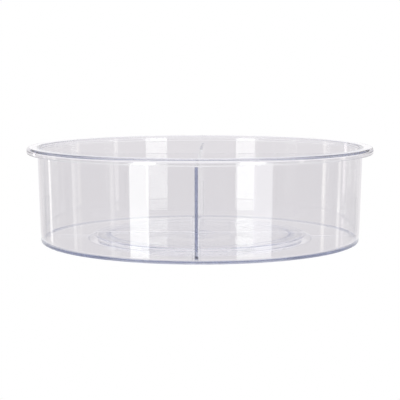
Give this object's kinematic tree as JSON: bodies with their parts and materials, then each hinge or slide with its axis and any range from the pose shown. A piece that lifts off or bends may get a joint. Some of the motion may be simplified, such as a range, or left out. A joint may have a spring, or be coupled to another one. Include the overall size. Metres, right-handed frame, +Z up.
{
  "type": "divided turntable tray",
  "caption": "Clear round turntable tray with a rolled rim and crossed removable dividers, turning on a ball ring over a low base.",
  "frame": {"origin": "on the surface the tray stands on, under its middle, on the turning axis", "axes": "+Z up along the turning axis; one divider stands along X and the other along Y at rest"},
  "size_m": [0.292, 0.292, 0.083],
  "materials": {
    "bowl_clear": "polished",
    "divider_clear": "polished",
    "base_clear": "polished",
    "bearing_clear": "gloss",
    "foot_clear": "satin"
  },
  "bodies": {
    "base": {"base_plate": "base_clear", "foot_pad_1": "foot_clear", "foot_pad_2": "foot_clear", "foot_pad_3": "foot_clear", "foot_pad_4": "foot_clear", "foot_pad_5": "foot_clear", "foot_pad_6": "foot_clear"},
    "cage": {"ball_cage": "bearing_clear", "bearing_ball_01": "bearing_clear", "bearing_ball_02": "bearing_clear", "bearing_ball_03": "bearing_clear", "bearing_ball_04": "bearing_clear", "bearing_ball_05": "bearing_clear", "bearing_ball_06": "bearing_clear", "bearing_ball_07": "bearing_clear", "bearing_ball_08": "bearing_clear", "bearing_ball_09": "bearing_clear", "bearing_ball_10": "bearing_clear", "bearing_ball_11": "bearing_clear", "bearing_ball_12": "bearing_clear", "bearing_ball_13": "bearing_clear", "bearing_ball_14": "bearing_clear", "bearing_ball_15": "bearing_clear", "bearing_ball_16": "bearing_clear", "bearing_ball_17": "bearing_clear", "bearing_ball_18": "bearing_clear", "bearing_ball_19": "bearing_clear", "bearing_ball_20": "bearing_clear"},
    "tray": {"tray_bowl": "bowl_clear", "pivot_pin": "base_clear"},
    "lower_divider": {"divider_lower": "divider_clear"},
    "upper_divider": {"divider_upper": "divider_clear"}
  },
  "joints": [
    {"name": "tray_spin", "type": "hinge", "parent": "base", "child": "tray", "pos_m": [0, 0, 0], "axis": [0, 0, 1], "continuous": true},
    {"name": "cage_spin", "type": "hinge", "parent": "base", "child": "cage", "pos_m": [0, 0, 0], "axis": [0, 0, 1], "continuous": true},
    {"name": "divider_lower_lift", "type": "slide", "parent": "tray", "child": "lower_divider", "axis": [0, 0, 1], "range_m": [0, 0.09]},
    {"name": "divider_upper_lift", "type": "slide", "parent": "lower_divider", "child": "upper_divider", "axis": [0, 0, 1], "range_m": [0, 0.09]}
  ],
  "couplings": [
    {"joint": "cage_spin", "follows": "tray_spin", "ratio": 0.5}
  ]
}
